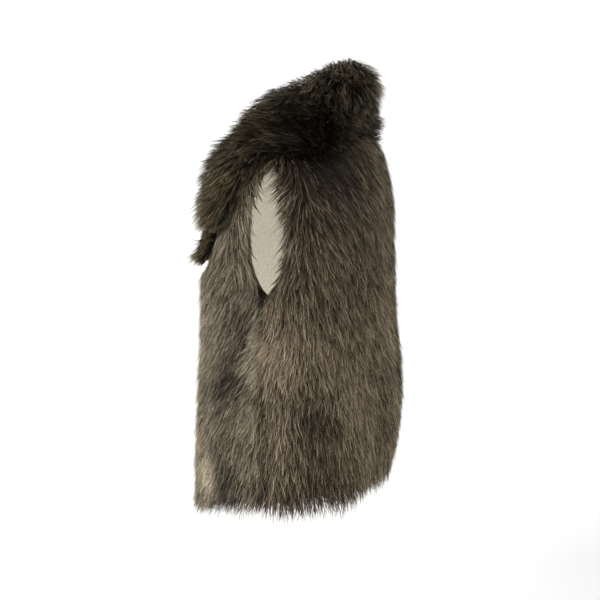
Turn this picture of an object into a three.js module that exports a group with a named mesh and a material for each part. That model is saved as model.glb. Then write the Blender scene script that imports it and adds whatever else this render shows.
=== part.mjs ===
// A faux fur vest, hollow as if worn open at the front, with nobody in it. Millimetres, +Z up.
// The wearer faces -Y, so +X is the wearer's left. The origin is in the middle of the neck opening, at the
// height where the collar meets the shoulders, because the shoulders carry a vest.
// Each panel is pile fabric: a knitted backing 2 mm thick with about 20 mm of fur lying down over it. Its
// solid is one wall from the inside of the backing to the outside of the fur.
import * as THREE from "three";

// Cloth
const BACKING = 2;
const PILE = 20;
const SEAM_GAP = 0.4;

// The figure that the cloth hangs on, as rings from the neck to the tips of the hem's fur. z is a ring's
// height at the side seam. The drops say how far it lies above that at the middle of the front and back.
const RING = { z: 0, halfWidth: 1, frontDepth: 2, backDepth: 3, midY: 4, frontDrop: 5, backDrop: 6 };
const RINGS = [
  [0, 78, 56, 60, 14, -12, 6],
  [-20, 128, 80, 82, 8, -20, 6],
  [-48, 178, 101, 105, 4, -24, 4],
  [-96, 196, 116, 121, 2, -18, 0],
  [-160, 202, 124, 128, 2, -10, 0],
  [-230, 206, 125, 131, 3, -6, 0],
  [-320, 210, 128, 136, 3, -14, 0],
  [-420, 214, 138, 146, 4, -40, 0],
  [-500, 216, 144, 146, 4, -68, -2],
  [-560, 216, 145, 134, 4, -82, -4],
];
const RING_POWER = 2.35; // a ring is a superellipse: 2 is an ellipse, more is squarer
const NECK_Z = -5; // the back neckline and the tops of the shoulder seams
const HEM_Z = RINGS[RINGS.length - 1][RING.z];

// The front edge: how far it hangs from the middle, from the neck down. Both edges hang open.
const EDGE = { z: 0, x: 1 };
const FRONT_EDGE = [
  [0, 92],
  [-6, 88],
  [-13, 80],
  [-26, 73],
  [-50, 66],
  [-100, 58],
  [-160, 56],
  [-230, 60],
  [-330, 70],
  [-440, 86],
  [-560, 102],
];
const CORNER_RADIUS = 42; // of the front's lower corner

// The side and shoulder seams lie in one upright plane. The armhole is an oval that interrupts them.
const SEAM_Y = 14;
const ARMHOLE = { top: -60, bottom: -228, halfWidth: 24 };
const ARMHOLE_MIDDLE = (ARMHOLE.top + ARMHOLE.bottom) / 2;
const ARMHOLE_HALF_HEIGHT = (ARMHOLE.top - ARMHOLE.bottom) / 2;

// Soft folds: the angles round the figure of a fold's top and bottom (degrees, 0 at the wearer's left, 90 at
// the middle of the back, 180 at the right), those ends' heights, its half width in degrees and its depth
// inwards. A negative depth is a ridge.
const FOLD = { topAngle: 0, bottomAngle: 1, topZ: 2, bottomZ: 3, halfWidth: 4, depth: 5 };
const FOLDS = [
  [-34, -40, -300, -600, 9, 7],
  [-4, -11, -215, -400, 6.5, 9],
  [30, 36, -400, -520, 12, 10],
  [60, 56, -40, -290, 11, 7],
  [76, 80, -250, -560, 8, -5],
  [98, 104, -180, -560, 10, 7],
  [132, 128, -60, -330, 12, 7],
  [150, 146, -360, -560, 11, 9],
  [187, 192, -220, -430, 7, 8],
  [219, 213, -270, -600, 10, 8],
];
const FOLD_FADE = 0.25; // the share of a fold's length in which it comes and goes
const FOLD_START = 0.15; // the share by which the fade begins above the top and ends below the bottom

// Fur thins towards an edge: the share of the pile's depth at the edge itself, and how far in it is full.
const FREE_EDGE = { share: 0.4, reach: 20 };
const SEAM_EDGE = { share: 0.66, reach: 13 };
const HEM_EDGE = { share: 0.5, reach: 22 };
const COLLAR_SEAM = { share: 0.3, reach: 20 };
const COLLAR_EDGE = { share: 0.5, reach: 26 };
const COLLAR_END = { share: 0.45, reach: 16 };
const EDGE_CHANGE = { above: 10, below: 40 }; // past the armhole's ends, where a free edge becomes a seam

// The collar stands from the neckline, rolls over at its fold, falls as far as its belly and comes down to
// its outer edge. A station is a distance along the neckline from the middle of the back, round the top of
// the shoulder at about 117 and down the front's edge. The fold and the belly are points in space. The
// outer edge is a place on the cloth: its angle in degrees and its height.
const STATION = { along: 0, fold: 1, belly: 4, edgeAngle: 7, edgeZ: 8 };
const COLLAR = [
  [0, 0, 92, 91, 0, 106, 46, 90, -16],
  [41, 42, 88, 90, 58, 97, 42, 68, -22],
  [72, 70, 71, 83, 94, 77, 36, 51, -30],
  [96, 90, 45, 70, 118, 50, 22, 34, -40],
  [122, 98, 15, 58, 130, 14, 8, 4, -44],
  [152, 96, -22, 42, 132, -22, -8, -5, -54],
  [182, 86, -48, 14, 128, -58, -24, -9, -66],
  [220, 72, -82, -28, 124, -90, -56, -13, -84],
  [262, 60, -110, -70, 120, -110, -88, -16, -106],
  [296, 55, -120, -102, 118, -112, -114, -21, -124],
  [327, 53, -117, -132, 116, -108, -134, -27, -140],
];

// The lapel is the top of the front's edge, turned back below the collar, with a notch between them.
const LAPEL = [
  [333, 53, -115, -148, 108, -106, -152, -29, -148],
  [348, 53, -120, -166, 110, -109, -168, -31, -162],
  [366, 54, -120, -184, 104, -111, -184, -36, -176],
  [384, 58, -115, -202, 92, -111, -200, -48, -191],
];
const COLLAR_SEAT = 10; // from the cloth to the middle of a collar's or lapel's backing, at least
const SEAT_SOFTNESS = 3; // how gently it comes down to that
const SEATED_FROM = 0.8; // where across the collar it is first this far off, counted as for its columns
const COLLAR_STAND_OFF = BACKING + SEAM_GAP + 0.2; // from the neckline to the middle of its backing
const LEAST_PILE = 1; // of a panel that a collar presses on
const PRESSED = { share: 0.8, gap: BACKING + 2.5 }; // how far a panel's fur fills the room under a collar

// How finely each piece is divided
const SHOULDER_ROWS = [NECK_Z, -8, -12, -18, -27, -38, -50];
const ARMHOLE_ROWS = 9;
const CHEST_ROWS = [-237, -248]; // where the fur comes out from under the lapel
const BODY_ROW_HEIGHT = 26;
const HEM_ROWS = [22, 12, 4, 0]; // above the hem
const EDGE_COLUMNS = [0, 4, 10, 20]; // from a side edge
const FRONT_MIDDLE_COLUMNS = 12;
const BACK_MIDDLE_COLUMNS = 22;
const COLLAR_ROWS = 64;
const LAPEL_ROWS = 8;
const COLLAR_COLUMNS = [0, 0.2, 0.45, 0.7, 0.9, 1.1, 1.35, 1.6, 1.85, 2.1, 2.35, 2.6, 2.8, 2.92, 3];

const FUR = { color: 0x665b4c, roughness: 0.9, metalness: 0 };
const COLLAR_FUR = { color: 0x4a4334, roughness: 0.95, metalness: 0 };

const { abs, acos, asin, cos, exp, floor, hypot, log, max, min, PI, round, sign, sin, sqrt } = Math;
const radians = THREE.MathUtils.degToRad;
const mix = THREE.MathUtils.lerp;
const between = THREE.MathUtils.clamp;
const smooth = (x) => THREE.MathUtils.smoothstep(x, 0, 1);

// A smooth curve through a table's rows: the row at t, where t counts rows from 0.
function rowAt(table, t) {
  const last = table.length - 1;
  const i = between(floor(t), 0, last - 1);
  const f = t - i;
  const b = table[i];
  const c = table[i + 1];
  return b.map((_, k) => {
    const a = i > 0 ? table[i - 1][k] : 2 * b[k] - c[k];
    const d = i < last - 1 ? table[i + 2][k] : 2 * c[k] - b[k];
    const bend = 2 * a - 5 * b[k] + 4 * c[k] - d;
    const twist = 3 * b[k] - a - 3 * c[k] + d;
    return 0.5 * (2 * b[k] + (c[k] - a) * f + bend * f ** 2 + twist * f ** 3);
  });
}

// Where a table's first column, which runs steadily up or down, has this value.
function placeOf(table, value) {
  const rising = table[table.length - 1][0] > table[0][0];
  let low = 0;
  let high = table.length - 1;
  while (high - low > 1e-9) {
    const middle = (low + high) / 2;
    if (rowAt(table, middle)[0] < value === rising) low = middle;
    else high = middle;
  }
  return (low + high) / 2;
}

const ringPlace = (z) => placeOf(RINGS, z);
const NECK = ringPlace(NECK_Z);

// The inward depth of all folds at an angle in radians and a height.
function foldDepth(phi, z) {
  let depth = 0;
  for (const fold of FOLDS) {
    const down = (fold[FOLD.topZ] - z) / (fold[FOLD.topZ] - fold[FOLD.bottomZ]);
    const coming = smooth((down + FOLD_START) / FOLD_FADE);
    const going = smooth((1 + FOLD_START - down) / FOLD_FADE);
    const middle = radians(mix(fold[FOLD.topAngle], fold[FOLD.bottomAngle], between(down, 0, 1)));
    const turn = phi - middle - 2 * PI * round((phi - middle) / (2 * PI));
    depth += fold[FOLD.depth] * coming * going * exp(-((turn / radians(fold[FOLD.halfWidth])) ** 2));
  }
  return depth;
}

// The outside of the backing at an angle round the figure and a place down the rings.
function clothPoint(phi, t) {
  const ring = rowAt(RINGS, t);
  const c = cos(phi);
  const s = sin(phi);
  const depth = s > 0 ? ring[RING.backDepth] : ring[RING.frontDepth];
  const drop = s > 0 ? ring[RING.backDrop] : ring[RING.frontDrop];
  const x = ring[RING.halfWidth] * sign(c) * abs(c) ** (2 / RING_POWER);
  const y = depth * sign(s) * abs(s) ** (2 / RING_POWER);
  const share = 1 - foldDepth(phi, ring[RING.z]) / hypot(x, y);
  return new THREE.Vector3(x * share, ring[RING.midY] + y * share, ring[RING.z] + drop * s * s);
}

// The cloth's outward direction, from short steps round the figure and down it.
function clothNormal(phi, t) {
  const turn = 2e-3;
  const step = 2e-2;
  const inside = between(t, step, RINGS.length - 1 - step);
  const round = clothPoint(phi + turn, inside).sub(clothPoint(phi - turn, inside));
  const down = clothPoint(phi, inside + step).sub(clothPoint(phi, inside - step));
  return down.cross(round).normalize();
}

// The angle at which a ring's front comes to x, and the angle at which its left side comes to y.
function frontAngle(t, x) {
  return -acos(between(x / rowAt(RINGS, t)[RING.halfWidth], 0, 1) ** (RING_POWER / 2));
}
function sideAngle(t, y) {
  const ring = rowAt(RINGS, t);
  const away = y - ring[RING.midY];
  const depth = away > 0 ? ring[RING.backDepth] : ring[RING.frontDepth];
  return sign(away) * asin(between(abs(away) / depth, 0, 1) ** (RING_POWER / 2));
}

// The left front's inner edge: the neckline above and the open front below, with its rounded lower corner.
function frontEdgeAngle(t) {
  const z = rowAt(RINGS, t)[RING.z];
  const straight = rowAt(FRONT_EDGE, placeOf(FRONT_EDGE, z))[EDGE.x];
  const intoCorner = max(0, CORNER_RADIUS - (z - HEM_Z));
  const cut = CORNER_RADIUS - sqrt(CORNER_RADIUS ** 2 - intoCorner ** 2);
  return frontAngle(t, straight + cut);
}

// How far the armhole reaches to each side of its middle at a height.
function armholeHalfWidth(z) {
  const share = (z - ARMHOLE_MIDDLE) / ARMHOLE_HALF_HEIGHT;
  return ARMHOLE.halfWidth * sqrt(max(0, 1 - share * share));
}

// A panel's side edge on the wearer's left: a seam, or the rim of the armhole. facing is -1 for the front
// panel and 1 for the back.
function sideEdgeAngle(t, facing) {
  const open = armholeHalfWidth(rowAt(RINGS, t)[RING.z]);
  return sideAngle(t, SEAM_Y + facing * max(SEAM_GAP / 2, open));
}

// The share of the full pile at a distance from an edge.
function thinning(distance, edge) {
  const into = between(distance / edge.reach, 0, 1);
  return mix(edge.share, 1, sqrt(1 - (1 - into) ** 2));
}

// How a side edge thins the fur at a height: as a free edge at the armhole, as a seam well away from it.
function sideEdge(z) {
  const above = smooth((z - ARMHOLE.top) / EDGE_CHANGE.above);
  const below = smooth((ARMHOLE.bottom + EDGE_CHANGE.above - z) / EDGE_CHANGE.below);
  const seam = max(above, below);
  return {
    share: mix(FREE_EDGE.share, SEAM_EDGE.share, seam),
    reach: mix(FREE_EDGE.reach, SEAM_EDGE.reach, seam),
  };
}
const freeEdge = () => FREE_EDGE;

// The heights at the side seam of a panel's rows: shoulder, armhole, chest, body and hem.
function rowHeights() {
  const heights = [...SHOULDER_ROWS];
  for (let k = 0; k <= ARMHOLE_ROWS; k += 1) {
    heights.push(ARMHOLE_MIDDLE + ARMHOLE_HALF_HEIGHT * cos((PI * k) / ARMHOLE_ROWS));
  }
  const from = CHEST_ROWS[CHEST_ROWS.length - 1];
  const to = HEM_Z + HEM_ROWS[0];
  const rows = round((from - to) / BODY_ROW_HEIGHT);
  heights.push(...CHEST_ROWS);
  for (let k = 1; k < rows; k += 1) heights.push(mix(from, to, k / rows));
  return [...heights, ...HEM_ROWS.map((above) => HEM_Z + above)];
}

// Distances across a row of this length: close together at both ends and even between them.
function columnPlaces(length, middleColumns) {
  const widest = EDGE_COLUMNS[EDGE_COLUMNS.length - 1];
  const squeeze = min(1, length / (4 * widest));
  const ends = EDGE_COLUMNS.map((distance) => distance * squeeze);
  const inner = widest * squeeze;
  const places = [...ends];
  for (let k = 1; k <= middleColumns; k += 1) {
    places.push(mix(inner, length - inner, k / (middleColumns + 1)));
  }
  return [...places, ...ends.map((distance) => length - distance).reverse()];
}

// The angles at those distances along a ring from one angle to another, and the distances.
function acrossRow(t, from, to, middleColumns) {
  const steps = 96;
  const angles = Array.from({ length: steps + 1 }, (_, k) => mix(from, to, k / steps));
  const points = angles.map((phi) => clothPoint(phi, t));
  const lengths = [0];
  for (let k = 1; k <= steps; k += 1) lengths.push(lengths[k - 1] + points[k].distanceTo(points[k - 1]));
  const total = lengths[steps];
  return columnPlaces(total, middleColumns).map((place) => {
    const k = between(lengths.findIndex((length) => length > place - 1e-9), 1, steps);
    const f = between((place - lengths[k - 1]) / (lengths[k] - lengths[k - 1]), 0, 1);
    return { phi: mix(angles[k - 1], angles[k], f), fromStart: place, fromEnd: total - place };
  });
}

// The neckline from the middle of the back to the front edge and down it, with distances along it.
const NECKLINE = [];
function addToNeckline(phi, t) {
  const point = clothPoint(phi, t);
  const last = NECKLINE[NECKLINE.length - 1];
  NECKLINE.push({ phi, t, point, along: last ? last.along + last.point.distanceTo(point) : 0 });
}
for (let phi = PI / 2; phi > frontEdgeAngle(NECK); phi -= 0.02) addToNeckline(phi, NECK);
for (let z = NECK_Z; z > ARMHOLE.bottom; z -= 1) addToNeckline(frontEdgeAngle(ringPlace(z)), ringPlace(z));

// Where the collar is sewn on: just inside the cut edge of the neckline. The direction along the seam is
// taken between cells on both sides, which rounds the neckline's corner.
function seamPoint(along) {
  const after = max(1, NECKLINE.findIndex((cell) => cell.along >= along));
  const [from, to] = [NECKLINE[after - 1], NECKLINE[after]];
  const share = (along - from.along) / (to.along - from.along);
  const phi = mix(from.phi, to.phi, share);
  const t = mix(from.t, to.t, share);
  const [before, beyond] = [NECKLINE[max(0, after - 6)], NECKLINE[min(NECKLINE.length - 1, after + 5)]];
  const inwards = beyond.point.clone().sub(before.point).cross(clothNormal(phi, t)).normalize();
  return clothPoint(phi, t).addScaledVector(inwards, COLLAR_STAND_OFF);
}

// The left half of the upper cloth as loose cells, to keep what lies on it clear of it.
const CLOTH_CELLS = [];
for (let t = NECK; t < ringPlace(-330); t += 0.1) {
  for (let phi = -PI / 2; phi <= PI / 2; phi += 0.05) {
    CLOTH_CELLS.push({ point: clothPoint(phi, t), normal: clothNormal(phi, t) });
  }
}

function nearestCell(point, cells) {
  let nearest = cells[0];
  for (const cell of cells) {
    if (cell.point.distanceToSquared(point) < nearest.point.distanceToSquared(point)) nearest = cell;
  }
  return nearest;
}

// A point, moved out from the cloth to at least this distance.
function liftedOff(point, least) {
  const cloth = nearestCell(point, CLOTH_CELLS);
  const lift = point.clone().sub(cloth.point).dot(cloth.normal);
  const wanted = least + SEAT_SOFTNESS * log(1 + exp((lift - least) / SEAT_SOFTNESS));
  return point.clone().addScaledVector(cloth.normal, wanted - lift);
}

// A collar's or lapel's backing: from the seam over the fold and the belly to the outer edge, which are at
// 0, 1, 2 and 3 across it. A negative distance along it is on the wearer's right.
function archPoint(table, along, across) {
  const station = rowAt(table, placeOf(table, abs(along)));
  const phi = radians(station[STATION.edgeAngle]);
  const t = ringPlace(station[STATION.edgeZ]);
  const edge = clothPoint(phi, t).addScaledVector(clothNormal(phi, t), COLLAR_SEAT);
  const fold = station.slice(STATION.fold, STATION.belly);
  const belly = station.slice(STATION.belly, STATION.edgeAngle);
  const seam = seamPoint(abs(along)).toArray();
  const point = new THREE.Vector3(...rowAt([seam, fold, belly, edge.toArray()], across));
  const placed = across > 0 ? liftedOff(point, COLLAR_SEAT * smooth(across / SEATED_FROM)) : point;
  return along < 0 ? placed.setX(-placed.x) : placed;
}

// A collar's or lapel's cells, with fur that thins towards its seam, its outer edge and its open ends.
function archRows(table, alongs) {
  const points = alongs.map((along) => COLLAR_COLUMNS.map((across) => archPoint(table, along, across)));
  const lastRow = points.length - 1;
  const lastColumn = COLLAR_COLUMNS.length - 1;
  return points.map((row, i) =>
    row.map((point, j) => {
      const down = points[min(lastRow, i + 1)][j].clone().sub(points[max(0, i - 1)][j]);
      const outwards = row[min(lastColumn, j + 1)].clone().sub(row[max(0, j - 1)]);
      const fromEnd = min(point.distanceTo(points[0][j]), point.distanceTo(points[lastRow][j]));
      const seam = thinning(point.distanceTo(row[0]), COLLAR_SEAM);
      const edge = thinning(point.distanceTo(row[lastColumn]), COLLAR_EDGE);
      const end = thinning(fromEnd, COLLAR_END);
      return { point, normal: down.cross(outwards).normalize(), pile: PILE * min(seam, edge, end) };
    }),
  );
}

// The same cells on the other side of the wearer.
function mirrored(rows) {
  const flip = (vector) => vector.clone().setX(-vector.x);
  return rows.map((row) =>
    row.map(({ point, normal, pile }) => ({ point: flip(point), normal: flip(normal), pile })).reverse(),
  );
}

// Points all over some rows, closer together than their cells.
function spreadOver(rows) {
  const cells = [];
  for (let i = 0; i + 1 < rows.length; i += 1) {
    for (let j = 0; j + 1 < rows[0].length; j += 1) {
      for (const down of [0, 0.5]) {
        for (const across of [0, 1 / 3, 2 / 3]) {
          const start = rows[i][j].point.clone().lerp(rows[i + 1][j].point, down);
          const end = rows[i][j + 1].point.clone().lerp(rows[i + 1][j + 1].point, down);
          cells.push({ point: start.lerp(end, across) });
        }
      }
    }
  }
  return cells;
}

// A panel's cells, with fur as deep as its edges and what lies over it allow.
function panelRows({ from, to, fromEdge, toEdge, middleColumns }, covers) {
  return rowHeights().map((z) => {
    const t = ringPlace(z);
    const hem = thinning(z - HEM_Z, HEM_EDGE);
    return acrossRow(t, from(t), to(t), middleColumns).map(({ phi, fromStart, fromEnd }) => {
      const point = clothPoint(phi, t);
      const sides = min(thinning(fromStart, fromEdge(z)), thinning(fromEnd, toEdge(z)));
      const above = nearestCell(point, covers).point.distanceTo(point);
      const room = max(LEAST_PILE, PRESSED.share * above - PRESSED.gap);
      return { point, normal: clothNormal(phi, t), pile: min(PILE * min(hem, sides), room) };
    });
  });
}

// One closed wall from rows of cells: fur side out, backing side in, and a rim all round.
function wallGeometry(rows) {
  const height = rows.length;
  const width = rows[0].length;
  const positions = [];
  const place = (cell, distance) => {
    positions.push(...cell.point.clone().addScaledVector(cell.normal, distance).toArray());
  };
  for (const row of rows) for (const cell of row) place(cell, cell.pile);
  for (const row of rows) for (const cell of row) place(cell, -BACKING);
  const outer = (i, j) => i * width + j;
  const inner = (i, j) => (height + i) * width + j;
  const faces = [];
  const quad = (a, b, c, d) => faces.push(a, b, c, a, c, d);
  const end = width - 1;
  const bottom = height - 1;
  for (let i = 0; i < bottom; i += 1) {
    for (let j = 0; j < end; j += 1) {
      quad(outer(i, j), outer(i + 1, j), outer(i + 1, j + 1), outer(i, j + 1));
      quad(inner(i, j), inner(i, j + 1), inner(i + 1, j + 1), inner(i + 1, j));
    }
    quad(outer(i, 0), inner(i, 0), inner(i + 1, 0), outer(i + 1, 0));
    quad(outer(i, end), outer(i + 1, end), inner(i + 1, end), inner(i, end));
  }
  for (let j = 0; j < end; j += 1) {
    quad(outer(0, j), outer(0, j + 1), inner(0, j + 1), inner(0, j));
    quad(outer(bottom, j), inner(bottom, j), inner(bottom, j + 1), outer(bottom, j + 1));
  }
  const geometry = new THREE.BufferGeometry();
  geometry.setAttribute("position", new THREE.Float32BufferAttribute(positions, 3));
  geometry.setIndex(faces);
  geometry.computeVertexNormals();
  return geometry;
}

function piece(name, rows, look) {
  const mesh = new THREE.Mesh(wallGeometry(rows), new THREE.MeshStandardMaterial(look));
  mesh.name = name;
  return mesh;
}

const evenly = (from, to, count) => Array.from({ length: count + 1 }, (_, k) => mix(from, to, k / count));
const collarEnd = COLLAR[COLLAR.length - 1][STATION.along];
const collar = archRows(COLLAR, evenly(-collarEnd, collarEnd, COLLAR_ROWS));
const lapelStart = LAPEL[0][STATION.along];
const lapelEnd = LAPEL[LAPEL.length - 1][STATION.along];
const lapelLeft = archRows(LAPEL, evenly(lapelStart, lapelEnd, LAPEL_ROWS));
const lapelRight = mirrored(lapelLeft);
const covers = [collar, lapelLeft, lapelRight].flatMap(spreadOver);

const FRONT_LEFT = {
  from: frontEdgeAngle,
  to: (t) => sideEdgeAngle(t, -1),
  fromEdge: freeEdge,
  toEdge: sideEdge,
  middleColumns: FRONT_MIDDLE_COLUMNS,
};
const BACK = {
  from: (t) => sideEdgeAngle(t, 1),
  to: (t) => PI - sideEdgeAngle(t, 1),
  fromEdge: sideEdge,
  toEdge: sideEdge,
  middleColumns: BACK_MIDDLE_COLUMNS,
};
const FRONT_RIGHT = {
  from: (t) => PI - sideEdgeAngle(t, -1),
  to: (t) => PI - frontEdgeAngle(t),
  fromEdge: sideEdge,
  toEdge: freeEdge,
  middleColumns: FRONT_MIDDLE_COLUMNS,
};

const vest = new THREE.Group();
vest.add(
  piece("front_left", panelRows(FRONT_LEFT, covers), FUR),
  piece("front_right", panelRows(FRONT_RIGHT, covers), FUR),
  piece("back", panelRows(BACK, covers), FUR),
  piece("collar", collar, COLLAR_FUR),
  piece("lapel_left", lapelLeft, COLLAR_FUR),
  piece("lapel_right", lapelRight, COLLAR_FUR),
);
export default vest;
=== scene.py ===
# %% [markdown]
# # A faux fur vest
# The vest is six panels of long-pile fabric: two fronts, a back, a deep collar and two lapels. Each panel
# is modelled as what it is, a thin knitted backing with fur on one side of it. The CAD frame is loaded
# first, because it says where every panel hangs. Its walls stand for backing and fur together.

# %% Load the frame
import math

import bmesh
import bpy
import numpy as np
from mathutils import Matrix, Vector
from mathutils.kdtree import KDTree


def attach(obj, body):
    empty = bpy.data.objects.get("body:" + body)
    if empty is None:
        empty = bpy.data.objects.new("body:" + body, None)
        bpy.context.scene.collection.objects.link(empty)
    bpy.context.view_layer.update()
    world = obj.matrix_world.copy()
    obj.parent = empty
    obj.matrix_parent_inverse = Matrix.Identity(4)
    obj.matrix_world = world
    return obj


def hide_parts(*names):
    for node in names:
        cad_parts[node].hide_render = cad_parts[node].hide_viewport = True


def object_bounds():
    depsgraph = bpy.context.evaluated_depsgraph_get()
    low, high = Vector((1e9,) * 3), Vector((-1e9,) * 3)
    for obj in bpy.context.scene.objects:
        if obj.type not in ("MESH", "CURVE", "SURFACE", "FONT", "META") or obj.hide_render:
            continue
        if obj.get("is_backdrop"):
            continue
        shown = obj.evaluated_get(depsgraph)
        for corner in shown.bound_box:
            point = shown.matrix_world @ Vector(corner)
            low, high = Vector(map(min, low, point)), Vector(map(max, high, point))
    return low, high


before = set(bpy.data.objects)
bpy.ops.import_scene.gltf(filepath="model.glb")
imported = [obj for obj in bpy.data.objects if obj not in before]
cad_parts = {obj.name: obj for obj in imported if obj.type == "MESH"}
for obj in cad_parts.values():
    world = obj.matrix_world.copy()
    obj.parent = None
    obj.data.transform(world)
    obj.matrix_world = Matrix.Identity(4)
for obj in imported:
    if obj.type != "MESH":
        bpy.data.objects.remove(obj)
cad_box = [list(corner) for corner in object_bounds()]
print("CAD box", cad_box)

# %% [markdown]
# ## Smooth curves through short tables
# A pattern maker notes a few measurements and draws a smooth curve through them. A Catmull-Rom curve does
# the same with a table of rows: it passes through every row and needs no handles.

# %% Curves through tables
MM = 0.001


def rows_at(table, t):
    """The rows of a smooth curve through a table, at places t that count its rows from 0."""
    t = np.asarray(t, float)
    last = len(table) - 1
    i = np.clip(np.floor(t).astype(int), 0, last - 1)
    f = (t - i)[..., None]
    b, c = table[i], table[i + 1]
    a = np.where((i > 0)[..., None], table[np.maximum(i - 1, 0)], 2 * b - c)
    d = np.where((i < last - 1)[..., None], table[np.minimum(i + 2, last)], 2 * c - b)
    bend = (2 * a - 5 * b + 4 * c - d) * f**2
    return 0.5 * (2 * b + (c - a) * f + bend + (3 * b - a - 3 * c + d) * f**3)


def place_of(table, value):
    """Where a table's first column, which runs steadily up or down, has these values."""
    t = np.linspace(0, len(table) - 1, 4001)
    first = rows_at(table, t)[:, 0]
    order = np.argsort(first)
    return np.interp(value, first[order], t[order])


def smooth(x):
    x = np.clip(x, 0, 1)
    return x * x * (3 - 2 * x)


def mix(a, b, share):
    return a + (b - a) * share


# %% [markdown]
# ## The form that the cloth hangs in
# The body of the vest is a stack of rings, squarer than an ellipse, from the neck to the hem. Columns:
# height at the side seam, half width, depth to the front, depth to the back, y of the middle, and how far
# the ring lies above its height at the middle of the front and of the back.

# %% Rings and folds
RINGS = MM * np.array([
    [0, 78, 56, 60, 14, -12, 6],
    [-20, 128, 80, 82, 8, -20, 6],
    [-48, 178, 101, 105, 4, -24, 4],
    [-96, 196, 116, 121, 2, -18, 0],
    [-160, 202, 124, 128, 2, -10, 0],
    [-230, 206, 125, 131, 3, -6, 0],
    [-320, 210, 128, 136, 3, -14, 0],
    [-420, 214, 138, 146, 4, -40, 0],
    [-500, 216, 144, 146, 4, -68, -2],
    [-560, 216, 145, 134, 4, -82, -4],
])
RING_POWER = 2.35
NECK_Z, HEM_Z = -0.005, -0.560
CLOTH_HEM_Z = HEM_Z + 0.020
# Folds: angle at the top and the bottom in degrees, those ends' heights in mm, half width in degrees, depth in mm.
FOLDS = [
    (-34, -40, -300, -600, 9, 7),
    (-4, -11, -215, -400, 6.5, 9),
    (30, 36, -400, -520, 12, 10),
    (60, 56, -40, -290, 11, 7),
    (76, 80, -250, -560, 8, -5),
    (98, 104, -180, -560, 10, 7),
    (132, 128, -60, -330, 12, 7),
    (150, 146, -360, -560, 11, 9),
    (187, 192, -220, -430, 7, 8),
    (219, 213, -270, -600, 10, 8),
]


def fold_depth(phi, z):
    depth = np.zeros(np.broadcast(phi, z).shape)
    for top_angle, bottom_angle, top, bottom, half_width, deep in FOLDS:
        down = (top * MM - z) / ((top - bottom) * MM)
        middle = np.radians(mix(top_angle, bottom_angle, np.clip(down, 0, 1)))
        turn = phi - middle - 2 * math.pi * np.round((phi - middle) / (2 * math.pi))
        comes_and_goes = smooth((down + 0.15) / 0.25) * smooth((1.15 - down) / 0.25)
        depth += deep * MM * comes_and_goes * np.exp(-((turn / math.radians(half_width)) ** 2))
    return depth


def cloth_point(phi, t):
    """The outside of the backing, at an angle round the figure and a place down the rings."""
    z, half_width, front, back, middle, front_drop, back_drop = np.moveaxis(rows_at(RINGS, t), -1, 0)
    c, s = np.cos(phi), np.sin(phi)
    x = half_width * np.sign(c) * np.abs(c) ** (2 / RING_POWER)
    y = np.where(s > 0, back, front) * np.sign(s) * np.abs(s) ** (2 / RING_POWER)
    share = 1 - fold_depth(phi, z) / np.hypot(x, y)
    return np.stack([x * share, middle + y * share, z + np.where(s > 0, back_drop, front_drop) * s * s], -1)


def ring_place(z):
    return place_of(RINGS, z)


print("rings", len(RINGS), "folds", len(FOLDS))

# %% [markdown]
# ## The cut edges
# The fronts hang open. Their inner edge is a curve of distances from the middle, with a rounded corner at
# the hem. The side and shoulder seams share one upright plane, and the armhole is an oval in it. The fur
# hides the last few millimetres of cloth, so the cut edges sit inside the outline of the fur.

# %% Edges of the panels
FRONT_EDGE = MM * np.array([
    [0, 92], [-6, 88], [-13, 80], [-26, 73], [-50, 66], [-100, 58],
    [-160, 56], [-230, 60], [-330, 70], [-440, 86], [-560, 102],
])
CORNER_RADIUS = 0.040
SEAM_Y = 0.014
SEAM_GAP = 0.0004
ARMHOLE_MIDDLE, ARMHOLE_HALF_HEIGHT, ARMHOLE_HALF_WIDTH = -0.144, 0.084, 0.024
FUR_OVER_EDGE = 0.004


def front_edge_angle(z, inset=0.0):
    t = ring_place(z)
    straight = rows_at(FRONT_EDGE, place_of(FRONT_EDGE, z))[..., 1]
    into_corner = np.clip(CORNER_RADIUS - (z - CLOTH_HEM_Z), 0, CORNER_RADIUS)
    x = straight + inset + CORNER_RADIUS - np.sqrt(CORNER_RADIUS**2 - into_corner**2)
    return -np.arccos(np.clip(x / rows_at(RINGS, t)[..., 1], 0, 1) ** (RING_POWER / 2))


def side_edge_angle(z, facing, inset=0.0):
    """facing is -1 for the front panel and 1 for the back."""
    share = (z - ARMHOLE_MIDDLE) / (ARMHOLE_HALF_HEIGHT + inset)
    open_by = (ARMHOLE_HALF_WIDTH + inset) * np.sqrt(np.clip(1 - share**2, 0, 1))
    ring = rows_at(RINGS, ring_place(z))
    away = SEAM_Y + facing * np.maximum(SEAM_GAP / 2, open_by) - ring[..., 4]
    depth = np.where(away > 0, ring[..., 3], ring[..., 2])
    return np.sign(away) * np.arcsin(np.clip(np.abs(away) / depth, 0, 1) ** (RING_POWER / 2))


# %% [markdown]
# ## The panels as grids of points
# Every panel is laid out as a net of points, rows down it and columns across it, like squared pattern
# paper. The cloth is made on a coarse net and the fur is planted on a fine one.

# %% Nets of the fronts and the back
def panel_net(from_angle, to_angle, rows, columns, hem=CLOTH_HEM_Z):
    z = np.linspace(NECK_Z, hem, rows)[:, None]
    across = np.linspace(0, 1, columns)[None, :]
    phi = mix(from_angle(z), to_angle(z), across)
    return cloth_point(phi, ring_place(z) + 0 * phi), fold_depth(phi, z)


def below_lapel(z):
    return FUR_OVER_EDGE * smooth((-0.190 - z) / 0.03)


def front_from(z):
    return front_edge_angle(z, below_lapel(z))


def front_to(z):
    return side_edge_angle(z, -1, FUR_OVER_EDGE)


def back_from(z):
    return side_edge_angle(z, 1, FUR_OVER_EDGE)


def mirror_angle(edge):
    return lambda z: math.pi - edge(z)


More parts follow.
